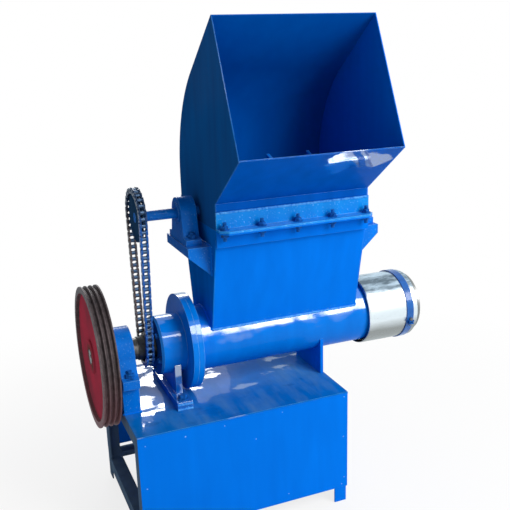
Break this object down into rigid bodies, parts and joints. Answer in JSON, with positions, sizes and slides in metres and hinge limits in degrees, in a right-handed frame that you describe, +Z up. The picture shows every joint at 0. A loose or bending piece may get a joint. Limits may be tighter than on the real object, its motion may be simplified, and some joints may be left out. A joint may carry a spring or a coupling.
{
  "type": "foam hot melting machine",
  "caption": "Open-hopper foam crusher over a heated screw barrel with an outlet, on a sheet-clad angle stand, driven by a belt pulley and a roller chain.",
  "frame": {"origin": "centre of the overall box at floor level, on the floor under the machine", "axes": "+X along the barrel from pulley to outlet, +Y from the hopper mouth to the back, +Z up"},
  "size_m": [1.095, 0.5964, 1.495],
  "materials": {
    "blue_paint": "brushed gloss enamel over rolled sheet, with fine streaks and weld spatter",
    "pulley_iron": "bare grooved rim with belt dust, web painted red",
    "machined_steel": "turned steel, lightly oiled",
    "chain_steel": "oiled steel with paint overspray",
    "heater_sheet": "thin bright sheet, softly dented"
  },
  "bodies": {
    "root": {"back_panel": "blue_paint", "barrel": "blue_paint", "barrel_flange": "blue_paint", "barrel_support": "blue_paint", "bearing_drum": "blue_paint", "bearing_shelf_left": "blue_paint", "bearing_shelf_right": "blue_paint", "chamber_back": "blue_paint", "chamber_flange_back": "blue_paint", "chamber_flange_front": "blue_paint", "chamber_front": "blue_paint", "chamber_side_left": "blue_paint", "chamber_side_right": "blue_paint", "drive_chain": "chain_steel", "drum_end_cover": "blue_paint", "drum_support": "blue_paint", "end_panel": "blue_paint", "front_panel": "blue_paint", "heater_cover_inner": "heater_sheet", "heater_cover_outer": "heater_sheet", "heater_strap": "blue_paint", "hopper_back": "blue_paint", "hopper_flange_back": "blue_paint", "hopper_flange_front": "blue_paint", "hopper_front": "blue_paint", "hopper_side_left": "blue_paint", "hopper_side_right": "blue_paint", "lower_rail_back": "blue_paint", "lower_rail_left": "blue_paint", "main_pillow_block": "blue_paint", "outlet_plate": "machined_steel", "pillow_riser": "blue_paint", "post_back_left": "blue_paint", "post_back_right": "blue_paint", "post_front_left": "blue_paint", "post_front_right": "blue_paint", "rotor_pillow_left": "blue_paint", "rotor_pillow_right": "blue_paint", "stand_top": "blue_paint", "top_rail_back": "blue_paint", "top_rail_front": "blue_paint", "top_rail_left": "blue_paint", "top_rail_right": "blue_paint"},
    "main_shaft": {"main_shaft": "machined_steel", "pulley": "pulley_iron", "drive_sprocket": "chain_steel", "feed_screw": "machined_steel"},
    "rotor": {"rotor_shaft": "blue_paint", "driven_sprocket": "blue_paint", "rotor_blades": "blue_paint"}
  },
  "joints": [
    {"name": "main_shaft_spin", "type": "hinge", "parent": "root", "child": "main_shaft", "pos_m": [-0.3, 0.05375, 0.543], "axis": [1, 0, 0], "continuous": true},
    {"name": "rotor_spin", "type": "hinge", "parent": "root", "child": "rotor", "pos_m": [0, 0.05375, 0.94613], "axis": [1, 0, 0], "continuous": true}
  ],
  "couplings": [
    {"joint": "rotor_spin", "follows": "main_shaft_spin", "ratio": 0.65385}
  ]
}
